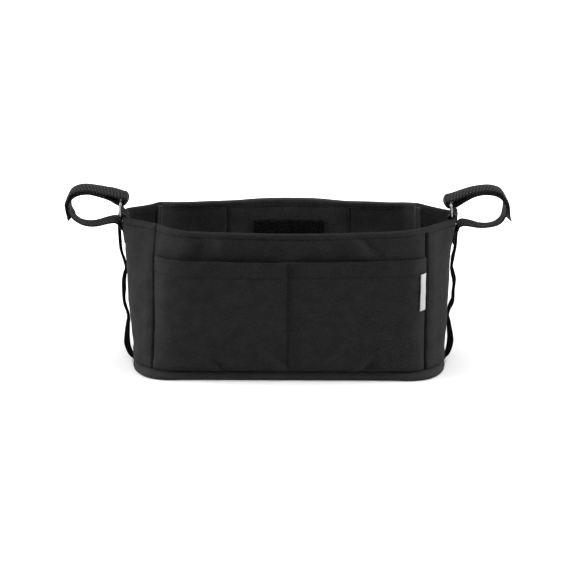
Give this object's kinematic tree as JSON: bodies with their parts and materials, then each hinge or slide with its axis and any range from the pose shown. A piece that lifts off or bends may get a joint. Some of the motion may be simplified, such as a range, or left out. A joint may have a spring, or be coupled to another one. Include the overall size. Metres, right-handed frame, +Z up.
{
  "type": "stroller organizer",
  "caption": "Soft open-topped organizer bag with cup wells, a front patch pocket, side tape loops and a ringed webbing strap at each end for hanging on a pushchair handle",
  "frame": {"origin": "middle of the underside of the base, on the surface it rests on", "axes": "+X runs from end to end towards the right end as seen from the front, the front pocket faces -Y, +Z is up"},
  "size_m": [0.4696, 0.1478, 0.1904],
  "materials": {
    "shell_fabric": "black plain-woven polyester, matte with a faint sheen",
    "lining_fabric": "black thin woven lining",
    "foam_sheet": "grey closed-cell foam sheet",
    "board": "black stiffening board",
    "webbing": "black ribbed webbing",
    "narrow_tape": "black narrow woven tape",
    "pile": "black brushed loop pile",
    "hook_face": "black hook tape",
    "ring_metal": "bright nickel-plated steel wire",
    "label": "plain silver-grey woven label"
  },
  "bodies": {
    "root": {"front_panel": "shell_fabric", "back_panel": "shell_fabric", "left_end_panel": "shell_fabric", "right_end_panel": "shell_fabric", "front_pocket": "shell_fabric", "base_panel": "shell_fabric", "back_lining_left": "lining_fabric", "back_lining_centre": "lining_fabric", "back_lining_right": "lining_fabric", "front_lining": "lining_fabric", "left_end_lining": "lining_fabric", "right_end_lining": "lining_fabric", "floor_lining": "lining_fabric", "divider_left": "lining_fabric", "divider_right": "lining_fabric", "front_foam": "foam_sheet", "back_foam": "foam_sheet", "left_end_foam": "foam_sheet", "right_end_foam": "foam_sheet", "base_board": "board", "left_strap": "webbing", "right_strap": "webbing", "left_ring_tab": "webbing", "right_ring_tab": "webbing", "left_side_tape": "narrow_tape", "right_side_tape": "narrow_tape", "binding_front_right": "narrow_tape", "binding_back_right": "narrow_tape", "binding_back_left": "narrow_tape", "binding_front_left": "narrow_tape", "loop_patch": "pile", "left_strap_loop_tape": "pile", "right_strap_loop_tape": "pile", "left_strap_hook_tape": "hook_face", "right_strap_hook_tape": "hook_face", "left_ring": "ring_metal", "right_ring": "ring_metal", "side_label": "label"}
  },
  "joints": []
}
